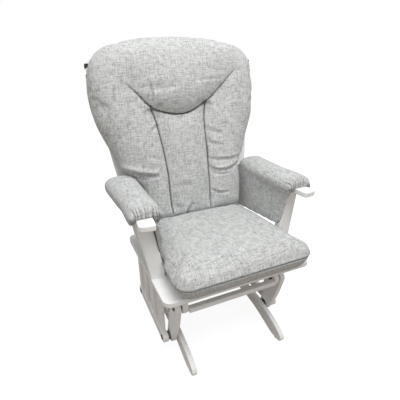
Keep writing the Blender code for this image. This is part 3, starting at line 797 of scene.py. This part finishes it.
def arm_sleeve(word, side, material, shade_backing):
    """Padded sleeve over one arm, gathered in front, with a long flap on its inner side."""
    ys = list(np.linspace(HEM_Y, -0.122, 24)) + list(np.linspace(-0.114, REAR_Y, 34))
    obj = ring_solid("arm_sleeve_" + word, [sleeve_ring(float(y), side) for y in ys])
    remesh(obj, 0.0038, 3)
    place = points(obj.data)
    puff(obj, 0.006, place[:, 2] < ARM_TOP - 0.004, pressure=3.0)
    subdivide(obj)
    soften(obj, 1)
    place = points(obj.data)
    refine(obj, (place[:, 1] < -0.128) & (place[:, 2] > ARM_LOW - 0.004))
    place = points(obj.data)
    out = normals(obj.data)
    across = side * place[:, 0]
    # gathers where the elastic hem draws the front end in
    grip = np.clip((GATHER_FROM - place[:, 1]) / GATHER_REACH, 0, 1)
    grip *= np.clip((place[:, 2] - ARM_LOW) / 0.010, 0, 1)
    fan = (across - 0.275) / (1.0 + 7.0 * (place[:, 1] - HEM_Y))
    wave = np.abs(np.sin(math.pi * fan / GATHER_STEP + 0.7 * np.sin(across * 210.0)))
    depth = GATHER_DEPTH * (0.75 + 0.25 * np.sin(across * 330.0 + 1.3 * side))
    shift = -depth * (1 - wave) ** 1.6 * grip ** 0.8
    # painted shade in the valleys of the gathers
    painted_crease_shade = 0.55 * (1 - wave) ** 2 * grip
    # painted shade line along the lower part of the hem
    hem = (place[:, 1] < HEM_Y + 0.0030) & (place[:, 2] < ARM_TOP + 0.0045)
    hem &= place[:, 2] > ARM_LOW
    painted_crease_shade = np.maximum(painted_crease_shade, 0.6 * hem)
    shift += 0.0010 * wave * grip
    # stitching on the inner flap: a long upright line and a short level one in front of it
    inward = np.clip(-side * out[:, 0], 0, 1)
    upright = np.abs(place[:, 1] - POCKET_Y + 0.10 * (0.50 - place[:, 2])) / STITCH_WIDTH
    below = (place[:, 2] < 0.545)
    shift -= STITCH_DEPTH * np.exp(-upright ** 2) * inward * below
    # painted shade along the stitch lines
    painted_crease_shade = np.maximum(painted_crease_shade, 0.35 * np.exp(-upright ** 2) * inward * below)
    level = np.abs(place[:, 2] - POCKET_Z) / STITCH_WIDTH
    ahead = (place[:, 1] < POCKET_Y - 0.002) & (place[:, 1] > -0.135)
    shift -= STITCH_DEPTH * np.exp(-level ** 2) * inward * ahead
    move(obj.data, place + out * shift[:, None])
    place = points(obj.data)
    out = normals(obj.data)
    flap = np.abs(out[:, 2]) < 0.6
    coords = np.where(flap[:, None], place[:, (1, 2, 0)] * (1, 1, 0.3), place[:, (1, 0, 2)] * (1, 1, 0.3))
    paint_weave(obj, coords)
    paint_seam_shade(obj, painted_crease_shade)
    finish_piece(obj, material)
    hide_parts("arm_pad_" + word)
    # the flap's hidden side and the underside show the black backing, which also paints the deep shade
    # there
    obj.data.materials.append(shade_backing)
    centres = np.empty(len(obj.data.polygons) * 3)
    facing = np.empty(len(obj.data.polygons) * 3)
    obj.data.polygons.foreach_get("center", centres)
    obj.data.polygons.foreach_get("normal", facing)
    centres, facing = centres.reshape(-1, 3), facing.reshape(-1, 3)
    across = side * centres[:, 0]
    inside = (side * facing[:, 0] > 0.35) & (across < 0.262)
    beneath = (facing[:, 2] < -0.45) & (across > wood_sides(centres[:, 1])[0] - 0.003)
    backing_in_shade = (inside | beneath) & (centres[:, 2] < ARM_TOP + 0.004) & (centres[:, 1] > -0.139)
    obj.data.polygons.foreach_set("material_index", backing_in_shade.astype(np.int32))


# ------------------------------------------------------------------ frame finish
def grain_axis(name):
    """The longest way through a node, which the grain follows."""
    low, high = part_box(name)
    size = [b - a for a, b in zip(low, high)]
    return "xyz"[size.index(max(size))]


def finish_frame():
    """Materials of the CAD pieces that stay as they are."""
    woods = {axis: painted_wood("white_paint_" + axis, axis) for axis in "xyz"}
    metal = steel("dull_zinc")
    tie = webbing("black_elastic", (0.012, 0.012, 0.012))
    deck = webbing("deck_cloth", (0.018, 0.018, 0.018))
    glide = felt("glide_felt")
    for name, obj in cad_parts.items():
        if name.startswith("pivot_bolt"):
            mat = metal
        elif name.startswith("cushion_tie"):
            mat = tie
        elif name == "seat_deck":
            mat = deck
        elif name.startswith("floor_glide"):
            mat = glide
        else:
            mat = woods[grain_axis(name)]
        if not obj.material_slots:
            obj.data.materials.append(mat)
        for holder in obj.material_slots:
            holder.material = mat


# ------------------------------------------------------------------ stage
KEY_SPOT = Vector((0.0, -0.88, 2.78))
KEY_AIM = Vector((0.0, 0.0, 0.5))


def add_stage():
    """Pale floor, even white surroundings and one soft light from above the front."""
    bpy.ops.mesh.primitive_plane_add(size=14, location=(0, 1.0, 0))
    floor = bpy.context.object
    floor.name = "floor"
    floor.data.materials.append(floor_material())
    world = bpy.data.worlds.new("studio")
    world.use_nodes = True
    tree = world.node_tree
    soft = tree.nodes["Background"]
    soft.inputs["Color"].default_value = (1.0, 1.0, 1.0, 1.0)
    soft.inputs["Strength"].default_value = 0.60
    white = tree.nodes.new('ShaderNodeBackground')
    white.inputs["Strength"].default_value = 1.0
    choose = tree.nodes.new('ShaderNodeMixShader')
    tree.links.new(tree.nodes.new('ShaderNodeLightPath').outputs["Is Camera Ray"], choose.inputs[0])
    tree.links.new(soft.outputs[0], choose.inputs[1])
    tree.links.new(white.outputs[0], choose.inputs[2])
    tree.links.new(choose.outputs[0], tree.nodes["World Output"].inputs["Surface"])
    white.inputs["Color"].default_value = (1.0, 1.0, 1.0, 1.0)
    scene.world = world
    data = bpy.data.lights.new("key", 'AREA')
    data.energy = 44.5
    data.size = 1.5
    lamp = bpy.data.objects.new("key", data)
    lamp.location = KEY_SPOT
    lamp.rotation_euler = (KEY_AIM - KEY_SPOT).to_track_quat('-Z', 'Y').to_euler()
    scene.collection.objects.link(lamp)
    scene.view_settings.view_transform = 'Standard'


add_camera()
add_stage()
finish_frame()
cloth = fabric("heather_linen", (0.277, 0.285, 0.282), (0.668, 0.677, 0.668))
# black backing that also paints the deep shade under the sleeves
shade_backing = shade_lining("black_shade_backing")
back_cushion(cloth)
seat_cushion(cloth)
for word, side in SIDES:
    arm_sleeve(word, side, cloth, shade_backing)
